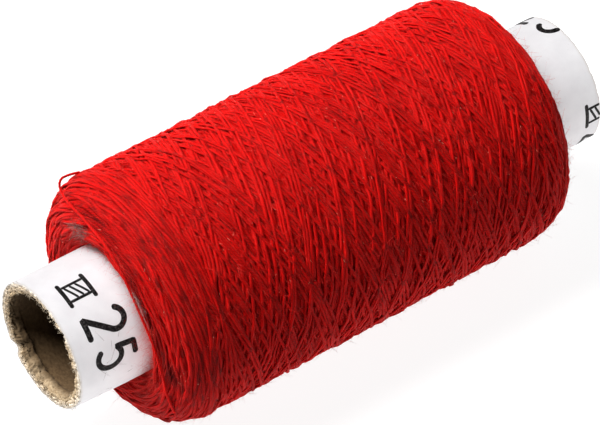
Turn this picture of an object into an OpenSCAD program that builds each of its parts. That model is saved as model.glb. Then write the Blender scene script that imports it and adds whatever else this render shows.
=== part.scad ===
// Spool of sewing thread: a plain cardboard tube, a paper label wrapped round
// it, and a cross-wound package of thread with rounded shoulders.
// Millimetres. The tube lies along X with its open near end at -X. Z = 0 is the
// surface that the spool rests on, and the origin is under the tube's middle.

/* [Tube] */
// Length of the cardboard tube
tube_len = 67.5; // [62:0.5:80]
// Radius of the hole that a spindle goes through
bore_r = 6.0; // [5.6:0.1:6.2]
// Thickness of the inner, lining ply
inner_ply_t = 0.4; // [0.2:0.05:0.45]
// Thickness of the middle ply
middle_ply_t = 0.4; // [0.2:0.05:0.45]
// Thickness of the outer ply
outer_ply_t = 0.35; // [0.2:0.05:0.4]
// Thickness of the white paper label
label_t = 0.1; // [0.05:0.01:0.12]

/* [Wound thread] */
// Radius of the full package
package_r = 14.05; // [13.9:0.05:14.1]
// Length of the package along the tube
package_len = 52.6; // [52.4:0.1:52.8]
// How far the package sits from the tube's middle, towards +X
package_shift = 0.3; // [0.2:0.05:0.4]
// Length over which each shoulder rounds off
shoulder_len = 5.6; // [5.4:0.1:5.7]
// Fullness of the shoulder: 2 is an ellipse, higher is squarer
shoulder_power = 2.5; // [2.4:0.05:2.5]
// How deep each end face is dished next to the tube
dish_depth = 1.6; // [1.4:0.1:3]
// Radius inside which the end face dishes
dish_r = 10.0; // [9.5:0.1:10]
// Depth of the flat that the package's own weight presses under it
rest_depth = 0.15; // [0.15:0.05:0.3]

/* [Loose strand] */
// Diameter of the thread
thread_d = 0.3; // [0.26:0.01:0.3]

/* [Hidden] */
$fn = 96;

inner_ply_r = bore_r + inner_ply_t;
middle_ply_r = inner_ply_r + middle_ply_t;
outer_ply_r = middle_ply_r + outer_ply_t;
label_r = outer_ply_r + label_t;
axis_z = package_r - rest_depth;

// Steps round each shoulder's outline
shoulder_steps = 14;
// Sides of the loose strand, and rings between one route point and the next
strand_sides = 8;
rings_per_span = 3;

// The loose strand's route, relative to the tube's axis. A turn has slipped off
// the near shoulder: it stands out in a small loop at the back, comes round the
// end face over the tube's front and goes back under the turns low on the front.
STRAND = [
    [-21.6, 10.4, 9.7],
    [-22.6, 10.1, 10.3],
    [-23.5, 9.8, 10.8],
    [-24.1, 9.8, 10.8],
    [-24.4, 9.8, 10.4],
    [-24.5, 9.7, 9.9],
    [-24.7, 9.0, 9.6],
    [-25.0, 7.7, 9.8],
    [-25.3, 5.9, 10.2],
    [-25.5, 3.9, 10.6],
    [-25.7, 2.0, 10.7],
    [-25.8, 0.2, 10.6],
    [-25.9, -1.6, 10.2],
    [-26.0, -3.2, 9.4],
    [-26.0, -4.6, 8.2],
    [-26.0, -5.9, 6.8],
    [-26.0, -7.1, 5.4],
    [-26.0, -8.3, 4.0],
    [-26.0, -9.3, 2.5],
    [-26.0, -10.0, 0.9],
    [-25.9, -10.5, -0.8],
    [-25.8, -10.8, -2.6],
    [-25.4, -10.9, -4.4],
    [-24.9, -10.8, -6.1]
];

// Place a shape, built round the Z axis, on the tube's lying axis
module on_axis() {
    translate([0, 0, axis_z])
        rotate([0, 90, 0])
            children();
}

// A ply or wrap of the tube between two radii, full length
module ply(r_in, r_out) {
    on_axis()
        rotate_extrude()
            translate([r_in, -tube_len / 2])
                square([r_out - r_in, tube_len]);
}

module core_inner_ply() {
    color([0.36, 0.29, 0.21])
        ply(bore_r, inner_ply_r);
}

module core_middle_ply() {
    color([0.55, 0.47, 0.36])
        ply(inner_ply_r, middle_ply_r);
}

module core_outer_ply() {
    color([0.62, 0.54, 0.42])
        ply(middle_ply_r, outer_ply_r);
}

module label_wrap() {
    color([0.93, 0.92, 0.93])
        ply(outer_ply_r, label_r);
}

// Shoulder outline: radius and inset from the end, at angle a from 0 to 90
function shoulder_r(a) =
    label_r + (package_r - label_r) * pow(sin(a), 2 / shoulder_power);
function shoulder_inset(a) = shoulder_len * (1 - pow(cos(a), 2 / shoulder_power));
function dish(r) = dish_depth * pow(max(0, (dish_r - r) / (dish_r - label_r)), 2);
function shoulder() = [
    for (i = [0 : shoulder_steps])
        let (a = 90 * i / shoulder_steps, r = shoulder_r(a))
            [r, shoulder_inset(a) + dish(r)]
];

module thread_package() {
    near = package_shift - package_len / 2;
    far = package_shift + package_len / 2;
    outline = concat(
        [for (p = shoulder()) [p[0], near + p[1]]],
        [for (i = [shoulder_steps : -1 : 0]) let (p = shoulder()[i]) [p[0], far - p[1]]]
    );
    color([0.66, 0.10, 0.09])
        difference() {
            on_axis()
                rotate_extrude()
                    polygon(outline);
            translate([-tube_len, -package_r, -package_r])
                cube([2 * tube_len, 2 * package_r, package_r]);
        }
}

// Points of a smooth curve through a route, with evenly spaced steps per span
function spline_point(p, i, t) =
    let (
        a = p[max(i - 1, 0)],
        b = p[i],
        c = p[i + 1],
        d = p[min(i + 2, len(p) - 1)]
    )
    0.5 * (2 * b + (c - a) * t + (2 * a - 5 * b + 4 * c - d) * t * t
        + (3 * b - a - 3 * c + d) * t * t * t);
function smooth(p, n) = concat(
    [for (i = [0 : len(p) - 2]) for (k = [0 : n - 1]) spline_point(p, i, k / n)],
    [p[len(p) - 1]]
);

function unit(v) = v / norm(v);

// Round tube swept along a list of points
module sweep(path, r, sides) {
    last = len(path) - 1;
    points = [
        for (i = [0 : last])
            let (
                along = unit(path[min(i + 1, last)] - path[max(i - 1, 0)]),
                side = unit(cross(along, [1, 0, 0])),
                up = cross(side, along)
            )
            for (k = [0 : sides - 1])
                path[i] + r * (cos(360 * k / sides) * side + sin(360 * k / sides) * up)
    ];
    walls = [
        for (i = [0 : last - 1]) for (k = [0 : sides - 1])
            let (j = (k + 1) % sides)
                [i * sides + k, (i + 1) * sides + k, (i + 1) * sides + j, i * sides + j]
    ];
    first_cap = [for (k = [0 : sides - 1]) k];
    last_cap = [for (k = [sides - 1 : -1 : 0]) last * sides + k];
    polyhedron(points, concat([first_cap], walls, [last_cap]), convexity = 10);
}

module loose_strand() {
    color([0.72, 0.11, 0.10])
        translate([0, 0, axis_z])
            sweep(smooth(STRAND, rings_per_span), thread_d / 2, strand_sides);
}

core_inner_ply();
core_middle_ply();
core_outer_ply();
label_wrap();
thread_package();
loose_strand();
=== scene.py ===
import math

import bpy
import numpy as np
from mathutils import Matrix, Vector


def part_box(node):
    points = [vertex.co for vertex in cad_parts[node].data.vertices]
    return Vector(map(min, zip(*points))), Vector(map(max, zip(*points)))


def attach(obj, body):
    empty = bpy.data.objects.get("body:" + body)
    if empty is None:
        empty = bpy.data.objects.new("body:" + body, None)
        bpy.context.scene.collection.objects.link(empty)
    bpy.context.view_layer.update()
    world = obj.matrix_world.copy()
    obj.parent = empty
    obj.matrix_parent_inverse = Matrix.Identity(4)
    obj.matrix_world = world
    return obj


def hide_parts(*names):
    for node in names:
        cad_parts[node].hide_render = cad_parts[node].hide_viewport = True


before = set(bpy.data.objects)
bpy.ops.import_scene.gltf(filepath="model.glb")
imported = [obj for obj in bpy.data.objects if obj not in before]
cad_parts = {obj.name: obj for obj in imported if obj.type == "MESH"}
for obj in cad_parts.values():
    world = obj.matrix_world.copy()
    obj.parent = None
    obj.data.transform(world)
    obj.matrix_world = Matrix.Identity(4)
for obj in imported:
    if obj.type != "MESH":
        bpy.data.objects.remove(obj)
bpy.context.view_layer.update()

# -------- the frame
# Everything is in metres in the CAD frame. MM turns a size in millimetres into metres.
MM = 0.001
LABEL_LO, LABEL_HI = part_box("label_wrap")
AXIS_Z = (LABEL_LO[2] + LABEL_HI[2]) / 2
TUBE_NEAR, TUBE_FAR = LABEL_LO[0], LABEL_HI[0]


def outer_radius(node):
    lo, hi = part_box(node)
    return (hi[2] - lo[2]) / 2


LABEL_R = outer_radius("label_wrap")
OUTER_PLY_R = outer_radius("core_outer_ply")
MIDDLE_PLY_R = outer_radius("core_middle_ply")
INNER_PLY_R = outer_radius("core_inner_ply")
BORE_R = 2 * INNER_PLY_R - MIDDLE_PLY_R
PACKAGE_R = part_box("thread_package")[1][2] - AXIS_Z
# Diameter of the loose thread
THREAD_D = 0.3 * MM

# -------- the camera
CAMERA_AZIMUTH = math.radians(-36.2)
CAMERA_ELEVATION = math.radians(45.23)
CAMERA_DISTANCE = 474.7 * MM
CAMERA_TARGET = Vector((-0.99 * MM, 0, AXIS_Z))
# Both in millimetres, as Blender gives them
CAMERA_LENS, CAMERA_SENSOR = 270.5, 36


def direction(azimuth, elevation):
    """Unit vector towards an azimuth, where 0 is -Y and a quarter turn is +X, and an elevation."""
    return Vector((
        math.sin(azimuth) * math.cos(elevation),
        -math.cos(azimuth) * math.cos(elevation),
        math.sin(elevation),
    ))


def make_camera():
    data = bpy.data.cameras.new("camera")
    data.sensor_width = CAMERA_SENSOR
    data.lens = CAMERA_LENS
    data.clip_start, data.clip_end = 0.05, 10
    camera = bpy.data.objects.new("camera", data)
    back = direction(CAMERA_AZIMUTH, CAMERA_ELEVATION)
    camera.location = CAMERA_TARGET + back * CAMERA_DISTANCE
    camera.rotation_mode = "QUATERNION"
    camera.rotation_quaternion = (-back).to_track_quat("-Z", "Y")
    bpy.context.collection.objects.link(camera)
    bpy.context.scene.camera = camera


# -------- mesh tools
def add_mesh(name, verts, faces, material, uv=None, tone=None):
    """Mesh object from numpy vertices in metres and an (n, 4) or (n, 3) face array.
    uv holds two numbers for each face corner, and tone one number for each vertex."""
    faces = np.asarray(faces, np.int32)
    mesh = bpy.data.meshes.new(name)
    mesh.vertices.add(len(verts))
    mesh.vertices.foreach_set("co", np.asarray(verts, np.float32).ravel())
    mesh.loops.add(faces.size)
    mesh.loops.foreach_set("vertex_index", faces.ravel())
    mesh.polygons.add(len(faces))
    mesh.polygons.foreach_set("loop_start", np.arange(len(faces), dtype=np.int32) * faces.shape[1])
    mesh.polygons.foreach_set("use_smooth", np.full(len(faces), True))
    if uv is not None:
        layer = mesh.uv_layers.new(name="lie")
        layer.data.foreach_set("uv", np.asarray(uv, np.float32).ravel())
    if tone is not None:
        attribute = mesh.attributes.new("tone", "FLOAT", "POINT")
        attribute.data.foreach_set("value", np.asarray(tone, np.float32))
    mesh.materials.append(material)
    mesh.update(calc_edges=True)
    mesh.validate()
    piece = bpy.data.objects.new(name, mesh)
    bpy.context.collection.objects.link(piece)
    return piece


def register(piece, node=None):
    """Hides the CAD node that a piece stands in for, and hangs the piece on the root body. Nothing
    here moves.
    """
    if node:
        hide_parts(node)
    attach(piece, "root")


def ring_faces(rings, sides, closed=False):
    """Quads between one ring of points and the next, and from the last to the first if closed."""
    i = np.arange(rings if closed else rings - 1)[:, None] * sides
    after = (i + sides) % (rings * sides)
    j = np.arange(sides)[None, :]
    k = (j + 1) % sides
    return np.stack([i + j, i + k, after + k, after + j], -1).reshape(-1, 4)


def place(x, r, phi):
    """Points at a distance along the axis, a radius, and an angle from +Y through +Z."""
    return np.stack(np.broadcast_arrays(x, r * np.cos(phi), AXIS_Z + r * np.sin(phi)), -1)


def cap_faces(first, sides, flip):
    """Quads that close an even-sided ring of points."""
    quads = [[first, first + k, first + k + 1, first + k + 2] for k in range(1, sides - 2, 2)]
    return [quad[::-1] for quad in quads] if flip else quads


def unit(v):
    return v / np.maximum(np.linalg.norm(v, axis=-1, keepdims=True), 1e-12)


class Tubes:
    """Collects closed round tubes into one mesh, with UVs of millimetres along and turns around."""

    def __init__(self, sides):
        self.sides = sides
        self.verts, self.faces, self.uvs, self.tones = [], [], [], []
        self.count = 0

    def add(self, centre, up, half_width, half_height, tone=0.5, start=0.0):
        sides, rings = self.sides, len(centre)
        along = unit(np.gradient(centre, axis=0))
        side = unit(np.cross(up, along))
        up = np.cross(along, side)
        angle = np.arange(sides) * 2 * np.pi / sides
        half_width = np.broadcast_to(half_width, rings)[:, None, None]
        half_height = np.broadcast_to(half_height, rings)[:, None, None]
        ring = (
            side[:, None] * np.cos(angle)[None, :, None] * half_width
            + up[:, None] * np.sin(angle)[None, :, None] * half_height
        )
        self.verts.append((centre[:, None] + ring).reshape(-1, 3))
        caps = cap_faces(0, sides, True) + cap_faces((rings - 1) * sides, sides, False)
        self.faces.append(np.concatenate([ring_faces(rings, sides), caps]) + self.count)
        steps = np.linalg.norm(np.diff(centre, axis=0), axis=1)
        length = (start + np.concatenate([[0], np.cumsum(steps)])) / MM
        u0 = np.repeat(length[:-1], sides)
        u1 = np.repeat(length[1:], sides)
        v0 = np.tile(np.arange(sides) / sides, rings - 1)
        v1 = v0 + 1 / sides
        wall_uv = np.stack([u0, v0, u0, v1, u1, v1, u1, v0], -1).reshape(-1, 2)
        self.uvs.append(np.concatenate([wall_uv, np.zeros((len(caps) * 4, 2))]))
        self.tones.append(np.repeat(np.broadcast_to(tone, rings), sides))
        self.count += rings * sides

    def build(self, name, material):
        return add_mesh(name, np.concatenate(self.verts), np.concatenate(self.faces), material,
                        uv=np.concatenate(self.uvs), tone=np.concatenate(self.tones))


# -------- the loose strand
# The route is the one in the CAD part, in millimetres from the tube's axis.
STRAND_ROUTE = [
    (-21.6, 10.4, 9.7), (-22.6, 10.1, 10.3), (-23.5, 9.8, 10.8), (-24.1, 9.8, 10.8),
    (-24.4, 9.8, 10.4), (-24.5, 9.7, 9.9), (-24.7, 9.0, 9.6), (-25.0, 7.7, 9.8),
    (-25.3, 5.9, 10.2), (-25.5, 3.9, 10.6), (-25.7, 2.0, 10.7), (-25.8, 0.2, 10.6),
    (-25.9, -1.6, 10.2), (-26.0, -3.2, 9.4), (-26.0, -4.6, 8.2), (-26.0, -5.9, 6.8),
    (-26.0, -7.1, 5.4), (-26.0, -8.3, 4.0), (-26.0, -9.3, 2.5), (-26.0, -10.0, 0.9),
    (-25.9, -10.5, -0.8), (-25.8, -10.8, -2.6), (-25.4, -10.9, -4.4), (-24.9, -10.8, -6.1),
]


def smooth_route(route, steps):
    """A smooth curve through every point of a route, as the CAD part draws it."""
    p = np.concatenate([route[:1], route, route[-1:]])
    t = (np.arange(steps) / steps)[None, :, None]
    a, b, c, d = (p[i : len(p) - 3 + i, None] for i in range(4))
    square = 2 * a - 5 * b + 4 * c - d
    cube = 3 * b - a - 3 * c + d
    curve = 0.5 * (2 * b + (c - a) * t + square * t**2 + cube * t**3)
    return np.concatenate([curve.reshape(-1, 3), p[-1:]])


def even_steps(path, step):
    """The same line, with points that far apart."""
    length = np.concatenate([[0], np.cumsum(np.linalg.norm(np.diff(path, axis=0), axis=1))])
    at = np.linspace(0, length[-1], int(length[-1] / step) + 1)
    return np.stack([np.interp(at, length, path[:, i]) for i in range(3)], -1)


STRAND_STEP = 0.06 * MM
STRAND = even_steps(smooth_route(np.array(STRAND_ROUTE) * MM + (0, 0, AXIS_Z), 12), STRAND_STEP)
STRAND_PATH = STRAND[::5]
# It is three plies. One twist takes this length, and each ply stands out from the middle, and is
# half as wide and half as high, by these shares of the thread's diameter
TWIST = 1.25 * MM
PLY_OUT, PLY_HALF_WIDTH, PLY_HALF_HEIGHT = 0.235, 0.28, 0.265
# Its colour is painted brighter than any other thread's, as painted light, since nothing shades it
STRAND_PAINTED_LIGHT_TONE = 1.3
# Distance from the middle of the strand to the middle of the turns under it
GROOVE = 0.36 * MM
# The turns beside it are painted darker, as painted shade, out to about this distance
SHADED = 0.9 * MM


def make_strand(material):
    """The slipped turn, as three plies twisted together."""
    path = STRAND
    along = unit(np.gradient(path, axis=0))
    side = unit(np.cross(np.array([1.0, 0, 0]), along))
    up = np.cross(along, side)
    s = np.arange(len(path)) * STRAND_STEP
    plies = Tubes(8)
    for ply in range(3):
        turn = 2 * np.pi * (s / TWIST + ply / 3)
        out = side * np.cos(turn)[:, None] + up * np.sin(turn)[:, None]
        centre = path + out * THREAD_D * PLY_OUT
        plies.add(centre, out, THREAD_D * PLY_HALF_WIDTH, THREAD_D * PLY_HALF_HEIGHT, STRAND_PAINTED_LIGHT_TONE)
    strand = plies.build("loose_turn", material)
    register(strand, "loose_strand")


# -------- the winding
# The package is wound turn by turn in code. A place on it is u, the distance along its outline
# from the tube's near end over both shoulders to the far end, and phi, the angle round the tube
# from +Y through +Z. A height map keeps how high the thread lies, so that each new turn rides
# over those under it.
# The outline is the CAD part's: the shoulders' length and squareness, how deep the ends are
# dished and out to which radius, and where the package starts and stops.
SHOULDER_LEN = 5.6 * MM
SHOULDER_POWER = 2.5
DISH_DEPTH = 1.6 * MM
DISH_R = 10.0 * MM
PACKAGE_NEAR, PACKAGE_FAR = -26.0 * MM, 26.6 * MM
# Step of the height map along u, its cells round the tube, and the step along a turn
U_STEP = 0.05 * MM
PHI_CELLS = 500
LAY_STEP = 0.09 * MM
# Heights are measured from this far under the outline
WIND_DEPTH = 0.9 * MM
# Fewer turns are laid on the end faces, so the bed under them comes up by this much
END_BED = 0.42 * MM
# Depth of the filled core under the outline: turns that lie wholly inside it are left out
CORE_DEPTH = 0.28 * MM
# A wound turn is squeezed narrower and flatter than the loose thread
TURN_WIDTH = 0.31 * MM
TURN_HEIGHT = 0.15 * MM
# Its outer fibres spread sideways and close the gaps between neighbouring turns
SPREAD = 1.15
# Height that one turn adds where it crosses another: less than its own, as thread is soft
CROSSING = 0.08 * MM
# How far a thread rides up over the bumps it crosses, from 0, straight through, to 1
BUMPS = 0.8
# A turn slides sideways by up to SLIP, a few times, down the slope it feels this far to each side
SLIP, SLIPS, FEEL = 0.06 * MM, 3, 0.12 * MM
# Points along a stroke over which it takes up the height of the one before
EASE = 60
# Turns round the tube for one traverse there and back, and how far each one creeps
TURNS_PER_CYCLE = 4.1
CREEP = 0.0012
# Cycles in all, and how many of the last ones lie in loose bundles
CYCLES = 170
LOOSE_CYCLES = 55
# Each reversal of the traverse rounds off over this length
ROUND_OFF = 13 * MM
# Short turns that show on an end face, and over the near and the far shoulder
END_TURNS, NEAR_SHOULDER_TURNS, FAR_SHOULDER_TURNS = 420, 150, 30
# Steps from one ring of a turn's mesh to the next, and pieces that the traverse is split into
RING_STEP = 8
WOUND_PIECES = 5
# The broad humps of the package are evened out by this share, over this distance
LEVELLING = 0.9
LEVEL_REACH = 0.6 * MM
# Bundles of turns lie a little high or low all over the package
LUMPS = 0.06 * MM
# No turn stands further than this above the outline or its own relief
TALLEST = 0.15 * MM


def package_outline():
    """Points (x, r) of the package's outline and the outward normals, U_STEP apart."""
    a = np.linspace(0, np.pi / 2, 400)
    r = LABEL_R + (PACKAGE_R - LABEL_R) * np.sin(a) ** (2 / SHOULDER_POWER)
    inset = SHOULDER_LEN * (1 - np.cos(a) ** (2 / SHOULDER_POWER))
    inset += DISH_DEPTH * (np.maximum(0, DISH_R - r) / (DISH_R - LABEL_R)) ** 2
    x = np.concatenate([PACKAGE_NEAR + inset, (PACKAGE_FAR - inset)[::-1]])
    r = np.concatenate([r, r[::-1]])
    u = np.concatenate([[0], np.cumsum(np.hypot(np.diff(x), np.diff(r)))])
    at = np.arange(0, u[-1], U_STEP)
    x, r = np.interp(at, u, x), np.interp(at, u, r)
    nx, nr = -np.gradient(r), np.gradient(x)
    size = np.hypot(nx, nr)
    return x, r, nx / size, nr / size


OUT_X, OUT_R, OUT_NX, OUT_NR = package_outline()
U_CELLS = len(OUT_X)
U_MAX = (U_CELLS - 1) * U_STEP


def u_where_radius(r, far=False):
    """u at which the outline first reaches a radius, from either end."""
    half = np.argmax(OUT_R > r)
    return (U_CELLS - 1 - np.argmax(OUT_R[::-1] > r)) * U_STEP if far else half * U_STEP


def radial(phi):
    """Unit vector straight out from the tube's axis at an angle."""
    return np.array([0, math.cos(phi), math.sin(phi)])


def sideways(phi):
    """Unit vector round the tube at an angle."""
    return np.array([0, -math.sin(phi), math.cos(phi)])


def bed(u):
    """Height of the bed that the first turns lie on, at u."""
    rise = np.interp(np.minimum(u, U_MAX - u), [5 * MM, 7.5 * MM], [1, 0])
    return END_BED * rise


def settle(z):
    """Keeps a thread's centre its own radius above the floor, and leaves higher places as they are."""
    soft, lowest = 0.05 * MM, THREAD_D / 2
    return lowest + soft * np.logaddexp(0, (z - lowest) / soft)


def on_package(u, phi, height):
    """Points in the frame at u, phi and a height, and the outward normals."""
    at = u / U_STEP
    cells = np.arange(U_CELLS)
    x, r = np.interp(at, cells, OUT_X), np.interp(at, cells, OUT_R)
    nx, nr = np.interp(at, cells, OUT_NX), np.interp(at, cells, OUT_NR)
    above = height - WIND_DEPTH + LUMPS * bundles(at, phi)
    x = x + nx * above
    r = r + nr * above
    points = np.stack([x, r * np.cos(phi), settle(AXIS_Z + r * np.sin(phi))], -1)
    normals = np.stack([nx, nr * np.cos(phi), nr * np.sin(phi)], -1)
    return points, unit(normals)


def spot(u, phi, lift=0.0):
    """One point at u and phi, that far above the package's outline, and the outward normal."""
    points, normals = on_package(np.array([u]), np.array([phi]), np.array([WIND_DEPTH + lift]))
    return points[0], normals[0]


def low_pass(field, reach):
    """A field averaged over about that many cells each way, and seamless at its edges."""
    fu = np.fft.fftfreq(field.shape[0])[:, None] * reach[0]
    fv = np.fft.rfftfreq(field.shape[1])[None, :] * reach[1]
    return np.fft.irfft2(np.fft.rfft2(field) * np.exp(-2 * (fu * fu + fv * fv)), field.shape)


def smooth_noise(rng, shape, cell):
    """Seeded random field, smooth over that many cells."""
    field = low_pass(rng.standard_normal(shape), cell)
    return field / field.std()


def bundles(at, phi):
    """Seeded relief of the wound bundles at outline cells and angles round the tube."""
    rows, columns = BUNDLE_FIELD.shape
    place = phi / (2 * np.pi) * columns
    i, j = np.clip(np.floor(at).astype(int), 0, rows - 2), np.floor(place).astype(int)
    t, s = np.clip(at - i, 0, 1), place - j
    j, k = j % columns, (j + 1) % columns
    low = BUNDLE_FIELD[i, j] * (1 - s) + BUNDLE_FIELD[i, k] * s
    return low * (1 - t) + (BUNDLE_FIELD[i + 1, j] * (1 - s) + BUNDLE_FIELD[i + 1, k] * s) * t


def broad_shape(height, reach):
    """A height map averaged over a distance, which leaves only its broad shape."""
    pad = int(3 * reach / U_STEP)
    field = np.pad(height, ((pad, pad), (0, 0)), mode="edge")
    cell = np.array([U_STEP, 2 * np.pi * PACKAGE_R / PHI_CELLS])
    return low_pass(field, np.pi * reach / cell)[pad:-pad]


def blur(values, sigma):
    """Gaussian blur of a line of values, with the ends held."""
    reach = int(3 * sigma) + 1
    kernel = np.exp(-0.5 * (np.arange(-reach, reach + 1) / sigma) ** 2)
    return np.convolve(np.pad(values, reach, mode="edge"), kernel / kernel.sum(), mode="valid")


BUNDLE_FIELD = smooth_noise(np.random.default_rng(3), (U_CELLS, PHI_CELLS), (9, 14))
# Behind the slipped turn the package is painted dark, as painted shade of a hollow, this far up the
# end face and this wide
HOLLOW_SHADE_BEHIND = 0.9 * MM
HOLLOW_SHADE_REACH = 0.75 * MM


class Winder:
    """Lays turns of thread on the package and keeps the height map."""

    def __init__(self, rng):
        self.height = 0.05 * MM * smooth_noise(rng, (U_CELLS, PHI_CELLS), (60, 30))
        self.height += 0.02 * MM * smooth_noise(rng, (U_CELLS, PHI_CELLS), (8, 5))
        self.height += bed(np.arange(U_CELLS) * U_STEP)[:, None]
        self.last = None

    def cells(self, u, phi):
        iu = np.clip((u / U_STEP + 0.5).astype(int), 0, U_CELLS - 1)
        ip = np.floor(phi / (2 * np.pi) * PHI_CELLS).astype(int) % PHI_CELLS
        return iu, ip

    def under(self, u, phi, reach):
        """Highest place under a thread at each point along it."""
        iu, ip = self.cells(u, phi)
        found = np.full(len(u), -1.0)
        for k in range(-reach, reach + 1):
            found = np.maximum(found, self.height[np.clip(iu + k, 0, U_CELLS - 1), ip])
        return found

    def slip(self, u, phi):
        """Lets the thread slide sideways off what it lies on, so that turns nest side by side."""
        for _ in range(SLIPS):
            rise = self.under(u + FEEL, phi, 1) - self.under(u - FEEL, phi, 1)
            slope = blur(rise / (2 * FEEL), 12)
            u = u - np.clip(slope, -1, 1) * SLIP
        return u

    def lay(self, u, phi, joined=True, sink=None):
        """Lays a run of thread and returns u, phi and the height of its centre along it."""
        u = self.slip(u, phi)
        floor = self.under(u, phi, 2)
        # It presses into soft thread, so it rides between the mean level and the bumps it crosses
        bumps = floor.copy()
        for k in range(1, 5):
            bumps[k:] = np.maximum(bumps[k:], floor[:-k])
            bumps[:-k] = np.maximum(bumps[:-k], floor[k:])
        centre = (1 - BUMPS) * blur(floor, 7) + BUMPS * blur(bumps, 3) + CROSSING / 2
        if joined and self.last is not None:
            ease = np.linspace(0, 1, min(EASE, len(centre)))
            centre[: len(ease)] = self.last * (1 - ease) + centre[: len(ease)] * ease
        if sink is not None:
            centre = centre - sink
        self.last = centre[-1] if joined else None
        iu, ip = self.cells(u, phi)
        for k in range(-3, 4):
            rise = math.sqrt(max(0.0, (TURN_WIDTH / 2) ** 2 - (k * U_STEP) ** 2))
            top = centre + rise * CROSSING / TURN_WIDTH
            np.maximum.at(self.height, (np.clip(iu + k, 0, U_CELLS - 1), ip), top)
        return u, phi, centre


def short_turn(winder, rng, far, u0, radius, reach, lean, bend, sink, spread):
    """Lays a turn that comes out of the package, runs round it at a lean and with a bend, and goes
    back in. sink is how deep its ends go and the power of the curve there, and spread is how much
    such turns differ in tone."""
    s = np.arange(-reach, reach, LAY_STEP)
    inward = -1 if far else 1
    u = u0 + inward * (lean * s + s * s / (2 * bend))
    phi = rng.uniform(0, 2 * np.pi) + s / radius
    depth = sink[0] * np.abs(s / reach) ** sink[1]
    u, phi, centre = winder.lay(np.clip(u, 0, U_MAX), phi, joined=False, sink=depth)
    return u, phi, centre, np.full(len(u), rng.normal(0.5, spread))


def end_turns(winder, rng, far):
    """Turns of the inner layers that show on an end face."""
    runs = []
    low, high = LABEL_R + 0.3 * MM, 12.9 * MM
    for _ in range(END_TURNS):
        # Area-weighted, so that the outer radii get as many turns as the inner ones need
        r = math.sqrt(low * low + (high * high - low * low) * rng.random())
        reach = rng.uniform(4.5, 8.0) * MM
        lean = rng.choice([-1, 1]) * rng.uniform(0.04, 0.22)
        u0 = u_where_radius(r, far)
        sink = 0.75 * MM, 3
        runs.append(short_turn(winder, rng, far, u0, r, reach, lean, 60 * MM, sink, 0.18))
    return runs


def shoulder_turns(winder, rng, far):
    """The last turns over a shoulder: where the thread turns back it lies almost straight round."""
    runs = []
    inner = u_where_radius(10.4 * MM, far)
    outer = u_where_radius(13.7 * MM, far) + (-3.2 if far else 3.2) * MM
    radius = 0.93 * PACKAGE_R
    for _ in range(FAR_SHOULDER_TURNS if far else NEAR_SHOULDER_TURNS):
        u0 = inner + (outer - inner) * rng.beta(1.3, 1.5)
        reach = rng.uniform(9, 22) * MM
        lean = rng.choice([-1, 1], p=[0.35, 0.65]) * rng.uniform(0.02, 0.12)
        sink = 0.35 * MM, 5
        runs.append(short_turn(winder, rng, far, u0, radius, reach, lean, 150 * MM, sink, 0.16))
    return runs


def traverse(rng):
    """u, phi and the number of the stroke, all along the cross-wound run, LAY_STEP apart."""
    turn_near = u_where_radius(9.2 * MM), u_where_radius(13.6 * MM)
    turn_far = u_where_radius(9.2 * MM, True), u_where_radius(13.6 * MM, True)
    corners_u, corners_phi = [], []
    phi = 0.7
    for cycle in range(CYCLES):
        creep = CREEP * (1 + 0.7 * math.sin(cycle / 9.0)) + rng.normal(0, 0.0005)
        half = np.pi * (TURNS_PER_CYCLE + creep)
        stray = 0.012 if cycle < CYCLES - LOOSE_CYCLES else 0.12
        corners_u.append(rng.uniform(*turn_near))
        corners_phi.append(phi + rng.normal(0, stray))
        corners_u.append(rng.uniform(*turn_far[::-1]))
        corners_phi.append(phi + half + rng.normal(0, stray))
        phi += 2 * half
    along = np.arange(corners_phi[0], corners_phi[-1], LAY_STEP / PACKAGE_R)
    u = np.interp(along, corners_phi, corners_u)
    window = int(ROUND_OFF / LAY_STEP)
    box = np.ones(window) / window
    u = np.convolve(np.pad(u, window, mode="edge"), box, mode="same")[window:-window]
    wander = smooth_noise(rng, (len(u), 1), (90, 1))[:, 0] * 0.05 * MM
    u = blur(u, 8) + wander
    return u, along, np.searchsorted(corners_phi, along)


def wind_package():
    """All the thread that shows: the end turns, the last turns over the shoulders, and the
    cross-wound turns between them, each as stretches of u, phi, height of the centre and tone."""
    rng = np.random.default_rng(40)
    winder = Winder(rng)
    ends = end_turns(winder, rng, False) + end_turns(winder, rng, True)
    u, phi, stroke = traverse(rng)
    strokes = []
    for k in range(stroke.min(), stroke.max() + 1):
        chosen = np.nonzero(stroke == k)[0]
        if len(chosen) >= 80:
            laid = winder.lay(u[chosen], phi[chosen])
            strokes.append((*laid, np.full(len(chosen), rng.normal(0.5, 0.24))))
    shoulders = shoulder_turns(winder, rng, False) + shoulder_turns(winder, rng, True)
    whole = [np.concatenate(part) for part in zip(*strokes)]
    whole[3] = blur(whole[3], 40)
    level = broad_shape(winder.height, LEVEL_REACH) - WIND_DEPTH
    main = visible_stretches(winder, level, whole)
    ends = [stretch for run in ends for stretch in visible_stretches(winder, level, run)]
    shoulders = [stretch for run in shoulders for stretch in visible_stretches(winder, level, run)]
    return ends, shoulders, main


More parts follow.
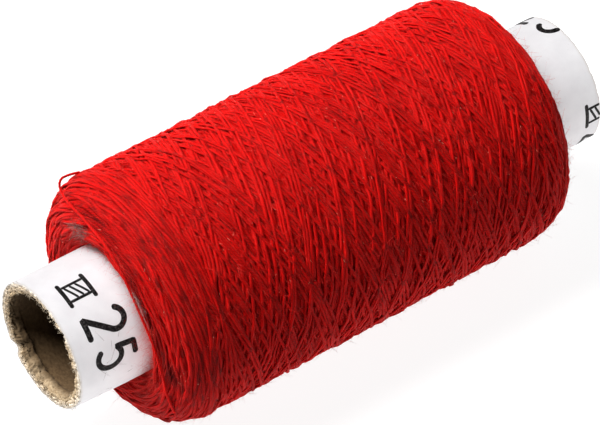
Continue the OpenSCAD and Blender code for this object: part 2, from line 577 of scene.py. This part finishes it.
def visible_stretches(winder, level, run):
    """Evens out the package's broad humps and hollows, and keeps the stretches above the core."""
    u, phi, centre, tone = run
    centre = centre - LEVELLING * blur(level[winder.cells(u, phi)], 4)
    above = centre - WIND_DEPTH
    centre = WIND_DEPTH + np.where(above > 0, TALLEST * np.tanh(above / TALLEST), above)
    shows = centre > WIND_DEPTH - CORE_DEPTH - TURN_HEIGHT / 3
    margin = np.ones(2 * int(0.8 * MM / LAY_STEP) + 1)
    shows = np.convolve(shows, margin, mode="same") > 0.5
    edges = np.flatnonzero(np.diff(np.concatenate([[False], shows, [False]]).astype(int)))
    stretches = []
    longest = 500 * RING_STEP
    for first, stop in zip(edges[::2], edges[1::2]):
        for start in range(first, stop, longest):
            # Each stretch ends on the ring that the next one starts with
            part = slice(start, min(stop, start + longest + 1))
            if part.stop - start > 4 * RING_STEP:
                stretches.append((u[part], phi[part], centre[part], tone[part]))
    return stretches


def painted_hollow_shade():
    """Points along the painted shade of the hollow between the slipped turn and the shoulder behind
    it.
    """
    path = STRAND_PATH[len(STRAND_PATH) * 3 // 10 : len(STRAND_PATH) * 17 // 20]
    y, z = path[:, 1], path[:, 2] - AXIS_Z
    near_half = slice(0, U_CELLS // 2)
    outline_u = np.arange(U_CELLS) * U_STEP
    u = np.interp(np.hypot(y, z) + HOLLOW_SHADE_BEHIND, OUT_R[near_half], outline_u[near_half])
    return on_package(u, np.arctan2(z, y), np.full(len(u), WIND_DEPTH))[0]


def clear_of_strand(points, normals, tone):
    """Presses the turns down where the slipped turn lies over them, so that it rests in a groove,
    and paints shade on those beside it and along the hollow behind it."""
    points, tone = points.copy(), tone.copy()
    near = np.flatnonzero(points[:, 0] < STRAND_PATH[:, 0].max() + MM)

    def distance_to(path):
        return np.linalg.norm(points[near, None] - path[None], axis=-1).min(axis=1)

    if len(near):
        away = distance_to(STRAND_PATH)
        points[near] -= normals[near] * np.maximum(0, GROOVE - away)[:, None]
        # Painted shade: the turns beside the slipped turn are coloured darker
        tone[near] -= 0.5 * np.exp(-(away / SHADED) ** 4)
        # Painted shade of the hollow behind the slipped turn
        tone[near] -= 1.3 * np.exp(-(distance_to(HOLLOW_SHADE) / HOLLOW_SHADE_REACH) ** 3)
    return points, tone


HOLLOW_SHADE = painted_hollow_shade()


def make_threads(name, stretches, material):
    """One piece from stretches of thread. Each stretch starts at its own place in the thread's
    pattern, so that neighbours don't match."""
    tubes = Tubes(6)
    start = 0
    for u, phi, centre, tone in stretches:
        keep = np.unique(np.append(np.arange(0, len(u), RING_STEP), len(u) - 1))
        points, normals = on_package(u[keep], phi[keep], centre[keep])
        points, shade = clear_of_strand(points, normals, tone[keep])
        tubes.add(points, normals, SPREAD * TURN_WIDTH / 2, TURN_HEIGHT / 2, shade, start)
        start += 7.3 * MM
    return tubes.build(name, material)


def make_winding(thread, core_thread):
    ends, shoulders, main = wind_package()
    groups = {"end_face_turns": ends, "shoulder_turns": shoulders}
    share = np.cumsum([len(stretch[0]) for stretch in main])
    share = share / share[-1] * WOUND_PIECES
    for number in range(WOUND_PIECES):
        chosen = np.flatnonzero((share > number) & (share <= number + 1))
        groups[f"wound_thread_{number + 1}"] = [main[k] for k in chosen]
    pieces = [make_threads(name, stretches, thread) for name, stretches in groups.items()]
    for piece in pieces + [make_core(core_thread)]:
        register(piece, "thread_package")


def make_core(material):
    """The filled package under the modelled turns, closed on the tube just inside the label."""
    sides = 240
    at = np.arange(0, U_CELLS, 6)
    phi = np.arange(sides) * 2 * np.pi / sides
    u = np.repeat(at * U_STEP, sides)
    points, _ = on_package(u, np.tile(phi, len(at)), np.full(len(u), WIND_DEPTH - CORE_DEPTH))
    first, last = (place(points[end, 0], 0.99 * LABEL_R, phi) for end in (0, -1))
    faces = ring_faces(len(at) + 2, sides, closed=True)
    return add_mesh("package_core", np.concatenate([first, points, last]), faces, material)


# -------- the cardboard tube
def bump_at(phi_deg, centre, width):
    """1 at an angle round the tube and falling smoothly to 0 that many degrees away."""
    away = np.abs((phi_deg - centre + 180) % 360 - 180)
    return 0.5 + 0.5 * np.cos(np.pi * np.clip(away / width, 0, 1))


# Distances in from the cut end at which a ply has rings of points, in millimetres
END_ROWS = [0, 0.06, 0.13, 0.22, 0.33, 0.46, 0.6, 0.78, 1.0, 1.18, 1.32, 1.55, 1.9, 2.4, 3.2, 4.5]
TUBE_SIDES = 540


def paper_wave(x, phi):
    """How far the glued paper label stands off the round at a place, as it has cockled a little."""
    broad = np.sin(4 * phi + x / (1.9 * MM))
    middling = np.sin(9 * phi - x / (2.6 * MM) + 1.7)
    fine = np.sin(15 * phi + x / (4 * MM))
    return 0.009 * MM * (broad + middling + fine)


def rim_paleness(deg):
    """How pale the cut end of the tube is: browner where it has been rubbed."""
    return 0.85 - 0.6 * bump_at(deg, 355, 70) - 0.3 * bump_at(deg, 268, 30)


def make_ply(name, node, r_in, r_out, material, seed, recess, rough, lip=None,
             across=4, torn_depth=0.5, wave=None):
    """A closed paper tube. recess(degrees) is how far short of the near cut it stops, rough the
    size of the grain, lip(degrees) how far its inside swells inwards near that cut, and
    wave(x, phi) how far its outside stands off the round."""
    rng = np.random.default_rng(seed)
    sides = TUBE_SIDES
    phi = np.arange(sides) * 2 * np.pi / sides
    deg = np.degrees(phi)
    ends = np.array(END_ROWS) * MM
    length = TUBE_FAR - TUBE_NEAR
    middle = np.linspace(ends[-1], length - ends[-1], 34)[1:-1]
    stations = np.concatenate([ends, middle, (length - ends)[::-1]])
    count = len(stations)
    fray = smooth_noise(rng, (1, sides), (1, 6))[0] + 0.6 * smooth_noise(rng, (1, sides), (1, 1.5))[0]
    near_gap = (recess(deg) + rough * 0.3 * fray) * MM
    far_gap = rough * np.abs(smooth_noise(rng, (1, sides), (1, 7))[0]) * 0.6 * MM
    near_gap = np.maximum(near_gap, -0.06 * MM)

    def fade(distance, reach):
        return np.clip(1 - distance / (reach * MM), 0, 1)

    def x_of(station):
        return TUBE_NEAR + station + fade(station, 3) * near_gap - fade(length - station, 3) * far_gap

    def frayed(distance):
        return np.exp(-(distance / (0.5 * MM)) ** 2)

    pinch = 0.16 * MM * bump_at(deg, 228, 60)
    grain_out = smooth_noise(rng, (count, sides), (1.2, 2.5)) * rough * 0.03 * MM
    # Torn board flakes in layers, so its grain runs round the tube
    grain_in = smooth_noise(rng, (count, sides), (0.7, 9)) * rough * 0.45 * MM
    grain_in += smooth_noise(rng, (count, sides), (0.7, 1.6)) * rough * 0.12 * MM
    rows = []

    def add_row(x, r, tone):
        rows.append(np.broadcast_arrays(x, r * np.ones(sides), tone))

    # Along the outside, across the far end, back along the inside, and across the near end
    for i, station in enumerate(stations):
        from_end = min(station, length - station)
        cockle = 0.0 if wave is None else wave(TUBE_NEAR + station, phi)
        r = r_out - pinch * fade(station, 6) + cockle + grain_out[i] * frayed(from_end)
        add_row(x_of(station), r, frayed(from_end * 2))
    for t in np.linspace(0, 1, across + 2)[1:-1]:
        dent = smooth_noise(rng, (1, sides), (1, 2))[0] * rough * 0.25 * MM
        add_row(x_of(length) - np.abs(dent), r_out + (r_in - r_out) * t, 1)
    for i, station in reversed(list(enumerate(stations))):
        swell, edge = 0.0, np.clip(1.4 - station / (torn_depth * MM), 0, 1)
        if lip is not None:
            rise = np.clip(station / (0.3 * MM), 0, 1)
            swell = lip(deg) * rise * np.clip((1.3 * MM - station) / (0.12 * MM), 0, 1) * MM
            edge = edge * lip_tone(deg)
        far_edge = np.clip(1.4 - (length - station) / (0.3 * MM), 0, 1)
        grain = grain_in[i] * frayed(min(station, length - station) / 2)
        r = r_in - pinch * fade(station, 6) - swell + grain
        add_row(x_of(station), r, np.maximum(edge, far_edge))
    for t in np.linspace(1, 0, across + 2)[1:-1]:
        dent = smooth_noise(rng, (1, sides), (1, 1.6))[0] * rough * 0.25 * MM
        add_row(x_of(0) + dent, r_out - pinch + (r_in - r_out) * t, rim_paleness(deg))
    x, r, tone = np.array(rows).transpose(1, 0, 2)
    verts = place(x, r, phi).reshape(-1, 3)
    faces = ring_faces(len(rows), sides, closed=True)
    register(add_mesh(name, verts, faces, material, tone=tone.ravel()), node)


def lip_shape(deg):
    """How far the torn lining stands in from the bore round the lower back, in millimetres."""
    lumps = 1 + 0.22 * np.cos(np.radians(deg * 11)) + 0.16 * np.cos(np.radians(deg * 23 + 50))
    return 0.58 * bump_at(deg, 300, 68) ** 0.7 * lumps


def lip_tone(deg):
    """How pale the torn lining is: fresh tears at the bottom, smooth brown board above them."""
    return 0.1 + 0.45 * bump_at(deg, 262, 58) ** 0.8


def rim_step(deg):
    """Where the whole rim is crushed back a little, low at the back."""
    return 0.38 * bump_at(deg, 319, 9)


def rim_notch(deg):
    """A nick in the inner plies at the front."""
    return 0.75 * bump_at(deg, 130, 5) ** 0.6


def make_tube(board, pale_board, lining, paper):
    make_ply("lining_ply", "core_inner_ply", BORE_R, INNER_PLY_R, lining, 11,
             lambda d: 0.06 + 0.7 * bump_at(d, 96, 46) ** 0.7 + rim_notch(d) + rim_step(d), 0.22,
             lip=lip_shape, torn_depth=0.8)
    make_ply("middle_ply", "core_middle_ply", INNER_PLY_R, MIDDLE_PLY_R, board, 12,
             lambda d: 0.02 + 0.12 * bump_at(d, 100, 50) + 0.8 * rim_notch(d) + rim_step(d), 0.20)
    make_ply("outer_ply", "core_outer_ply", MIDDLE_PLY_R, OUTER_PLY_R, pale_board, 13,
             lambda d: 0.25 * rim_notch(d) + rim_step(d), 0.15)
    make_ply("paper_label", "label_wrap", OUTER_PLY_R, LABEL_R, paper, 14,
             lambda d: -0.03 + rim_step(d), 0.06, across=1, wave=paper_wave)


# -------- the print
# A generic mark for the thread's thickness: a small spool, and a number. Its strokes are drawn
# in millimetres: b runs round the label, and a is up from the foot of the figures.
STROKE_W = 0.64 * MM
# Half the thickness of the ink, and the distance between points along a stroke
INK_HALF = 0.022 * MM
INK_STEP = 0.07 * MM
# Where the marks start round the label, in degrees, and where their feet stand at each end
NEAR_MARKS, NEAR_FOOT = (85, 243), -31.45 * MM
FAR_MARKS, FAR_FOOT = (0.5, 159), 31.95 * MM


def arc(b, a, rb, ra, start, end):
    """Points along part of an ellipse, from one angle in degrees to another."""
    t = np.radians(np.linspace(start, end, 22))
    return np.stack([b + rb * np.cos(t), a + ra * np.sin(t)], -1)


def line(*points):
    return np.array(points, float)


def mark_strokes():
    """Each stroke of the mark and its width as a share of STROKE_W."""
    two = np.concatenate([arc(6.3, 3.35, 1.12, 1.12, 165, -32), line((5.15, 0.1), (7.5, 0.1))])
    five = np.concatenate([line((10.9, 4.5), (9.35, 4.5), (9.1, 2.55)),
                           arc(9.95, 1.5, 1.15, 1.4, 118, -150)])
    flanges = [line((0.3, 0.0), (3.5, 0.0)), line((0.3, 2.9), (3.5, 2.9))]
    sides = [line((0.95, 0.2), (0.95, 2.7)), line((2.85, 0.2), (2.85, 2.7))]
    turns = [line((1.1, a), (2.7, a + 0.75)) for a in (0.45, 1.1, 1.75)]
    drawn = (([two, five], 1.0), (flanges, 0.72), (sides, 0.5), (turns, 0.42))
    return [(stroke, width) for strokes, width in drawn for stroke in strokes]


def print_mark(foot_x, start_phi, inks):
    """One mark, its foot at foot_x and its left side at an angle round the tube."""
    for number, (points, width) in enumerate(mark_strokes()):
        fine = even_steps(np.column_stack([points * MM, np.zeros(len(points))]), INK_STEP)
        x = foot_x + fine[:, 1]
        inside = np.nonzero(x < TUBE_FAR - 0.05 * MM)[0]
        for run in np.split(inside, np.nonzero(np.diff(inside) > 1)[0] + 1):
            if len(run) < 4:
                continue
            b, a = fine[run, 0], x[run]
            phi = math.radians(start_phi) + b / LABEL_R
            r = LABEL_R + paper_wave(a, phi) + (0.006 + 0.002 * number) * MM
            centre = place(a, r, phi)
            up = np.stack([0 * a, np.cos(phi), np.sin(phi)], -1)
            # Its ends are round
            step = np.arange(len(run))
            half = STROKE_W * width / 2
            short = 1 - np.clip((np.minimum(step, step[::-1]) * INK_STEP + 0.02 * MM) / half, 0, 1)
            inks.add(centre, up, half * np.sqrt(np.clip(1 - short**2, 0.02, 1)), INK_HALF)


def make_print(ink):
    inks = Tubes(8)
    for foot, starts in ((NEAR_FOOT, NEAR_MARKS), (FAR_FOOT, FAR_MARKS)):
        for start in starts:
            print_mark(foot, start, inks)
    register(inks.build("label_print", ink))


# -------- materials
class Nodes:
    """A material's node tree, with short calls for the nodes used here."""

    def __init__(self, name, **sockets):
        self.material = bpy.data.materials.new(name)
        self.material.use_nodes = True
        self.tree = self.material.node_tree
        self.shader = next(n for n in self.tree.nodes if n.type == "BSDF_PRINCIPLED")
        for key, value in sockets.items():
            self.shader.inputs[key.replace("_", " ")].default_value = value

    def link(self, source, node, socket):
        if isinstance(source, (int, float, tuple)):
            node.inputs[socket].default_value = source
        elif source is not None:
            self.tree.links.new(source, node.inputs[socket])

    def node(self, kind, inputs=None, **settings):
        """A new node with those settings, its inputs set or linked."""
        node = self.tree.nodes.new("ShaderNode" + kind)
        for key, value in settings.items():
            setattr(node, key, value)
        for socket, source in (inputs or {}).items():
            self.link(source, node, socket)
        return node

    def math(self, operation, a, b=None):
        return self.node("Math", {0: a, 1: b}, operation=operation).outputs[0]

    def total(self, first, *rest):
        """Sum of pairs of a source and its weight."""
        total = self.math("MULTIPLY", *first)
        for pair in rest:
            total = self.math("ADD", total, self.math("MULTIPLY", *pair))
        return total

    def attribute(self, name):
        return self.node("Attribute", attribute_name=name).outputs["Fac"]

    def lie(self):
        """Length along a thread in millimetres, and turns round it."""
        split = self.node("SeparateXYZ", {0: self.node("UVMap", uv_map="lie").outputs[0]})
        return split.outputs[0], split.outputs[1]

    def place(self, scale=(1, 1, 1)):
        """Position in the piece, in metres, stretched by scale."""
        coords = self.node("TexCoord").outputs["Object"]
        return self.node("Mapping", {"Vector": coords, "Scale": scale}).outputs[0]

    def noise(self, vector, scale, detail=3.0, roughness=0.55):
        inputs = {"Vector": vector, "Scale": scale, "Detail": detail, "Roughness": roughness}
        return self.node("TexNoise", inputs).outputs["Fac"]

    def ramp(self, factor, *stops):
        node = self.node("ValToRGB", {0: factor})
        ramp = node.color_ramp
        while len(ramp.elements) < len(stops):
            ramp.elements.new(0.5)
        for element, (position, colour) in zip(ramp.elements, stops):
            element.position = position
            element.color = (*colour, 1)
        return node.outputs["Color"]

    def mix(self, factor, a, b):
        a, b = (c if not isinstance(c, tuple) else (*c, 1) for c in (a, b))
        return self.node("Mix", {0: factor, 6: a, 7: b}, data_type="RGBA").outputs[2]

    def bump(self, height, distance, strength=1.0):
        inputs = {"Strength": strength, "Distance": distance, "Height": height}
        self.link(self.node("Bump", inputs).outputs[0], self.shader, "Normal")

    def colour(self, source):
        self.link(source, self.shader, "Base Color")


def mottled_material(name, place, scale, detail, low, high, **sockets):
    """The nodes of a material whose colour wanders between two stops of a ramp."""
    m = Nodes(name, **sockets)
    m.colour(m.ramp(m.noise(m.place(place), scale, detail), low, high))
    return m


# Length along a thread, in millimetres, from one ply's groove to the next
PLY_PERIOD = 0.42


def thread_material(name, shaded, dark, mid, bright):
    """Three-ply sewing thread: rounded plies with their grooves painted dark as shade, and fine fibres
    along them.
    """
    m = Nodes(name, Roughness=0.7, Specular_IOR_Level=0.05, Sheen_Weight=0.04, Sheen_Roughness=0.4,
              Sheen_Tint=(1.0, 0.25, 0.2, 1), Subsurface_Weight=0.9,
              Subsurface_Radius=(1.0, 0.06, 0.05), Subsurface_Scale=0.8 * MM)
    along, turn = m.lie()
    phase = m.total((along, math.pi / PLY_PERIOD), (turn, 3 * math.pi))
    ply = m.math("ABSOLUTE", m.math("SINE", phase))
    lie = {0: m.math("MULTIPLY", along, 2.2), 1: m.math("MULTIPLY", phase, 2.6)}
    fibres = m.noise(m.node("CombineXYZ", lie).outputs[0], 1.6)
    patches = m.noise(m.place((1, 0.5, 0.5)), 520, 3, 0.6)
    # The ply grooves are painted darker, as painted shade; the tone carries painted light and shade
    # near the slipped turn as well as each turn's random tone
    shade = m.total((ply, 0.22), (fibres, 0.30), (patches, 0.8), (m.attribute("tone"), 0.30))
    shade = m.math("SUBTRACT", shade, 0.16)
    m.colour(m.ramp(shade, (0.0, shaded), (0.3, dark), (0.6, mid), (1.0, bright)))
    m.bump(m.math("ADD", ply, m.math("MULTIPLY", fibres, 0.5)), 0.03 * MM, 0.25)
    return m.material


def core_material():
    # The red thread under the modelled turns, coloured darker than the turns: painted shade in the
    # gaps between them
    m = mottled_material("under_thread_painted_shade", (0.3, 1, 1), 2600, 3, (0.3, (0.21, 0.0010, 0.0008)),
                         (0.7, (0.38, 0.002, 0.0015)), Roughness=0.9, Specular_IOR_Level=0.03)
    m.bump(m.noise(m.place((3, 1, 1)), 2400), 0.1 * MM)
    return m.material


def hair_material(name, scale, low, high, roughness, specular):
    """One colour of stray fibre."""
    return mottled_material(name, (1, 1, 1), scale, 2, low, high, Roughness=roughness,
                            Specular_IOR_Level=specular).material


def board_material(name, whole_dark, whole_light, torn_dark, torn_light):
    """Brown chipboard: smooth and darker where it is whole, pale and furry where it is torn."""
    m = Nodes(name, Roughness=0.92, Specular_IOR_Level=0.08, Sheen_Weight=0.05)
    grain = m.noise(m.place((1.6, 1, 1)), 1900, 5, 0.7)
    clumps = m.noise(m.place(), 4200, 5, 0.75)
    whole = m.ramp(grain, (0.32, whole_dark), (0.70, whole_light))
    freshest = tuple(c * 1.3 for c in torn_light)
    torn = m.ramp(clumps, (0.36, torn_dark), (0.52, torn_light), (0.72, freshest))
    m.colour(m.mix(m.attribute("tone"), whole, torn))
    m.bump(m.math("ADD", grain, clumps), 0.04 * MM, 0.6)
    return m.material


def paper_material():
    """White paper, with a faint mottle, a few flecks, and its cut edge a little browned."""
    m = Nodes("label_paper", Roughness=0.55, Specular_IOR_Level=0.35, Sheen_Weight=0.05)
    mottle = m.ramp(m.noise(m.place(), 420, 4), (0.3, (0.80, 0.79, 0.81)), (0.7, (0.88, 0.875, 0.89)))
    flecks = m.noise(m.place((0.5, 1, 1)), 2100, 2)
    fleck = m.math("MULTIPLY", m.math("GREATER_THAN", flecks, 0.745), 0.25)
    paper = m.mix(fleck, mottle, (0.52, 0.47, 0.44))
    edge = m.math("MULTIPLY", m.math("POWER", m.attribute("tone"), 2.0), 0.45)
    m.colour(m.mix(edge, paper, (0.60, 0.52, 0.42)))
    m.bump(m.noise(m.place(), 2600, 4), 0.012 * MM, 0.7)
    return m.material


def ink_material():
    """Black printing ink, thinner and greyer in specks."""
    m = Nodes("label_ink", Roughness=0.5, Specular_IOR_Level=0.12)
    specks = m.noise(m.place(), 5200, 3, 0.7)
    m.colour(m.ramp(specks, (0.5, (0.004, 0.0035, 0.0035)), (0.75, (0.10, 0.09, 0.09))))
    m.bump(m.noise(m.place(), 5200), 0.02 * MM, 0.6)
    return m.material


def floor_material():
    """Pale matt floor that glows a little, like a light table."""
    return mottled_material("floor", (1, 1, 1), 30, 2, (0.3, (0.18, 0.18, 0.18)),
                            (0.7, (0.22, 0.22, 0.22)), Roughness=0.85, Specular_IOR_Level=0.2,
                            Emission_Color=(1, 1, 1, 1), Emission_Strength=0.93).material


# -------- stray fibres
# Hairs drawn all over the package, how many of those that lie flat are kept, and pale flecks painted
# as glints
FUZZ_HAIRS, HAZE_HAIRS, GLINT_FLECKS = 17000, 9500, 340
# Hairs over the near and the far label, and paper fibres on the rim
NEAR_LABEL_HAIRS, FAR_LABEL_HAIRS, RIM_HAIRS = 1100, 500, 700
# Height of the flecks above the package's outline
FLECK_LIFT = 0.1 * MM
# No hair lies along this direction, so it can set how their sides are turned
HAIR_UP = np.array([0.31, 0.52, 0.8])


def fibre(rng, start, out, length, curl, segments):
    """A thin curling hair from a point, leaving it along out."""
    step = length / segments
    heading = unit(out + rng.normal(0, 0.25, 3))
    bend = rng.normal(0, curl, 3)
    points = [start]
    for _ in range(segments):
        heading = unit(heading + bend + rng.normal(0, curl * 0.3, 3))
        points.append(points[-1] + heading * step)
    return np.array(points)


def hairs(name, material, lines, half):
    """One piece of hairs along lines of points, half that wide and thinner at their ends."""
    tubes = Tubes(4)
    for points in lines:
        thin = half * np.linspace(1, 0.45, len(points))
        tubes.add(points, np.broadcast_to(HAIR_UP, points.shape), thin, thin)
    register(tubes.build(name, material))


def make_thread_fuzz(material):
    """Fine hairs all over the package: some stand out from the thread, more lie flat on it."""
    rng = np.random.default_rng(7)
    standing, lying = [], []
    for number in range(FUZZ_HAIRS):
        u = rng.uniform(0.5 * MM, U_MAX - 0.5 * MM)
        phi = rng.uniform(0, 2 * np.pi)
        point, normal = spot(u, phi)
        if point[2] < 0.5 * MM:
            continue
        stands = number % 3 == 0
        along = sideways(phi) * rng.choice([-1, 1])
        out = normal * (rng.uniform(0.1, 0.7) if stands else 0.08) + along
        out = out + (rng.normal(0, 0.5), 0, 0)
        start = point + normal * rng.uniform(-0.1, 0.0) * MM
        if stands:
            line = fibre(rng, start, unit(out), rng.uniform(0.25, 0.9) * MM, 0.3, 3)
        else:
            line = fibre(rng, start, unit(out), rng.uniform(0.7, 1.9) * MM, 0.12, 2)
        if line[:, 2].min() > 0.05 * MM:
            (standing if stands else lying).append(line)
    hairs("thread_fuzz", material, standing, 0.010 * MM)
    hairs("thread_haze", material, lying[:HAZE_HAIRS], 0.012 * MM)


def make_glint_flecks(material):
    """Specks of paler fibre here and there on the thread's upper half: painted glints where fibres
    catch the light.
    """
    rng = np.random.default_rng(12)
    lines = []
    for _ in range(GLINT_FLECKS):
        u = rng.uniform(MM, U_MAX - MM)
        # Only on the upper half, where the light falls
        phi = rng.uniform(-0.3, np.pi + 0.3)
        point, normal = spot(u, phi, FLECK_LIFT)
        along = sideways(phi) * rng.choice([-1, 1])
        out = along + (rng.normal(0, 0.5), 0, 0) + 0.15 * normal
        lines.append(fibre(rng, point, unit(out), rng.uniform(0.1, 0.4) * MM, 0.3, 3))
    hairs("flecks", material, lines, 0.015 * MM)


def make_label_fuzz(material):
    """Red hairs that have strayed from the ends of the package on to the white label, most of them low
    at the front, where they are partly painted red reflection and shade.
    """
    rng = np.random.default_rng(9)
    lines = []
    for far, count, outward in ((False, NEAR_LABEL_HAIRS, -1), (True, FAR_LABEL_HAIRS, 1)):
        for _ in range(count):
            r = rng.uniform(7.4, 9.6) * MM
            # Most gather low at the front next to the package: partly stray fibre, partly painted red
            # reflection and shade on the label there
            phi = rng.normal(3.3, 0.8) if rng.random() < 0.7 else rng.uniform(0, 2 * np.pi)
            point, _ = spot(u_where_radius(r, far), phi)
            out = (outward, 0, 0) - 0.25 * radial(phi) + rng.normal(0, 0.9) * sideways(phi)
            length = min(rng.exponential(0.8) + 0.4, 3.0) * MM
            line = fibre(rng, point, unit(out), length, 0.24, 4)
            off = np.hypot(line[:, 1], line[:, 2] - AXIS_Z)
            keep_out = np.maximum(1, (LABEL_R + 0.035 * MM) / off)
            line[:, 1] *= keep_out
            line[:, 2] = AXIS_Z + (line[:, 2] - AXIS_Z) * keep_out
            lines.append(line)
    hairs("label_fuzz", material, lines, 0.006 * MM)


def make_lint_and_wrinkle_shade(material):
    """Tufts of grey lint caught on the near end face, and a few thin grey lines lying on the label:
    painted shade of its faint wrinkles.
    """
    rng = np.random.default_rng(10)
    lines = []
    # Each tuft's radius and its spread, in millimetres, its angle round the tube in degrees, and
    # how many hairs it has
    for r_mm, spread_r, deg, count in ((9.7, 0.5, 64, 230), (9.6, 0.15, 133, 70)):
        for _ in range(count):
            r = (r_mm + rng.normal(0, spread_r)) * MM
            phi = math.radians(deg + rng.normal(0, 5))
            start, normal = spot(u_where_radius(max(r, LABEL_R)), phi)
            along = sideways(phi) * rng.choice([-1, 1])
            out = along + rng.normal(0, 0.4, 3) + 0.12 * normal
            start = start + normal * rng.uniform(0, 0.2) * MM
            lines.append(fibre(rng, start, unit(out), rng.uniform(0.4, 1.2) * MM, 0.3, 4))
    # Thin grey lines lying flat on the label: painted shade of faint wrinkles in the paper
    for _ in range(16):
        phi = math.radians(rng.uniform(140, 205))
        turned = phi + np.linspace(0, rng.uniform(-0.25, 0.25), 9)
        x = rng.uniform(-31.5, -27) * MM + np.linspace(0, rng.uniform(-1.5, 1.5), 9) * MM
        lines.append(place(x, LABEL_R + 0.03 * MM, turned))
    hairs("lint", material, lines, 0.011 * MM)


def make_rim_fibres(material):
    """Paper fibres that stand out of the torn end of the tube."""
    rng = np.random.default_rng(8)
    lines = []
    for _ in range(RIM_HAIRS):
        deg = rng.uniform(0, 360)
        phi = math.radians(deg)
        r = rng.uniform(BORE_R, LABEL_R)
        x = TUBE_NEAR + (float(rim_notch(np.array(deg))) + rng.uniform(0, 0.1)) * MM
        start = place(x, r, phi)
        inward = 1 if r < INNER_PLY_R else rng.uniform(-1, 1)
        out = (-0.5, 0, 0) - radial(phi) * inward + rng.normal(0, 0.4, 3)
        lines.append(fibre(rng, start, unit(out), rng.uniform(0.12, 0.4) * MM, 0.35, 4))
    hairs("rim_fibres", material, lines, 0.016 * MM)


# -------- the stage
# In metres: half the floor's side, and how far the lights stand from the spool
FLOOR_HALF = 1.5
LIGHT_DISTANCE = 0.7


def make_stage():
    mesh = bpy.data.meshes.new("floor")
    corners = [(-1, -1), (1, -1), (1, 1), (-1, 1)]
    mesh.from_pydata([(x * FLOOR_HALF, y * FLOOR_HALF, 0) for x, y in corners], [], [(0, 1, 2, 3)])
    mesh.materials.append(floor_material())
    floor = bpy.data.objects.new("floor", mesh)
    bpy.context.collection.objects.link(floor)

    world = bpy.data.worlds.new("studio")
    world.use_nodes = True
    background = world.node_tree.nodes["Background"]
    background.inputs["Color"].default_value = (1, 1, 1, 1)
    background.inputs["Strength"].default_value = 0.02
    bpy.context.scene.world = world
    bpy.context.scene.view_settings.view_transform = "Standard"

    # White paper would burn out under the light that dark thread needs, so it has its own
    # dimmer key from the same place, and a weak fill from the front
    from_key = direction(math.radians(-133), math.radians(61))
    from_front = direction(math.radians(-12), math.radians(46))
    paper = [bpy.data.objects["paper_label"], bpy.data.objects["label_print"]]
    link_light(add_light("key", from_key, 0.36, 13.6), paper, "EXCLUDE")
    link_light(add_light("paper_key", from_key, 0.36, 5.0), paper, "INCLUDE")
    link_light(add_light("paper_fill", from_front, 0.5, 2.1), paper, "INCLUDE")


def add_light(name, towards, size, power):
    """A square soft light, aimed at the middle of the spool."""
    data = bpy.data.lights.new(name, "AREA")
    data.size = size
    data.energy = power
    light = bpy.data.objects.new(name, data)
    light.location = Vector((0, 0, AXIS_Z)) + towards * LIGHT_DISTANCE
    light.rotation_mode = "QUATERNION"
    light.rotation_quaternion = (-towards).to_track_quat("-Z", "Y")
    bpy.context.collection.objects.link(light)
    return light


def link_light(light, pieces, state):
    """Lets a light reach only those pieces, or all but them."""
    group = bpy.data.collections.new(light.name + "_receivers")
    for piece in pieces:
        group.objects.link(piece)
    for member in group.collection_objects:
        member.light_linking.link_state = state
    light.light_linking.receiver_collection = group


# -------- the scene
make_camera()
THREAD = thread_material("red_thread", (0.06, 0.0004, 0.0004), (0.19, 0.0008, 0.0006),
                         (0.39, 0.0020, 0.0016), (0.53, 0.005, 0.004))
make_strand(THREAD)
make_winding(THREAD, core_material())
BOARD = board_material("chipboard", (0.13, 0.085, 0.045), (0.26, 0.18, 0.105),
                       (0.34, 0.26, 0.17), (0.60, 0.49, 0.36))
PALE_BOARD = board_material("pale_board", (0.22, 0.165, 0.105), (0.38, 0.30, 0.20),
                            (0.42, 0.35, 0.27), (0.66, 0.58, 0.48))
LINING = board_material("lining", (0.045, 0.026, 0.012), (0.100, 0.062, 0.030),
                        (0.26, 0.18, 0.10), (0.50, 0.38, 0.24))
make_tube(BOARD, PALE_BOARD, LINING, paper_material())
make_print(ink_material())
# Red fuzz, paler than the thread: partly the loose fibres' own colour, partly painted sheen on the
# thread's crests
FUZZ = hair_material("thread_fuzz", 900, (0.35, (0.50, 0.010, 0.008)), (0.75, (0.75, 0.06, 0.045)),
                     0.7, 0.1)
make_thread_fuzz(FUZZ)
# Pale pink flecks: painted glints
make_glint_flecks(hair_material("fleck", 700, (0.3, (0.80, 0.15, 0.09)), (0.7, (0.95, 0.40, 0.28)),
                          0.6, 0.2))
make_label_fuzz(FUZZ)
make_lint_and_wrinkle_shade(hair_material("lint", 1500, (0.3, (0.06, 0.03, 0.028)), (0.7, (0.28, 0.19, 0.17)),
                        0.9, 0.05))
make_rim_fibres(board_material("paper_fibre", (0.3, 0.24, 0.16), (0.45, 0.37, 0.27),
                               (0.3, 0.24, 0.17), (0.45, 0.38, 0.28)))
make_stage()
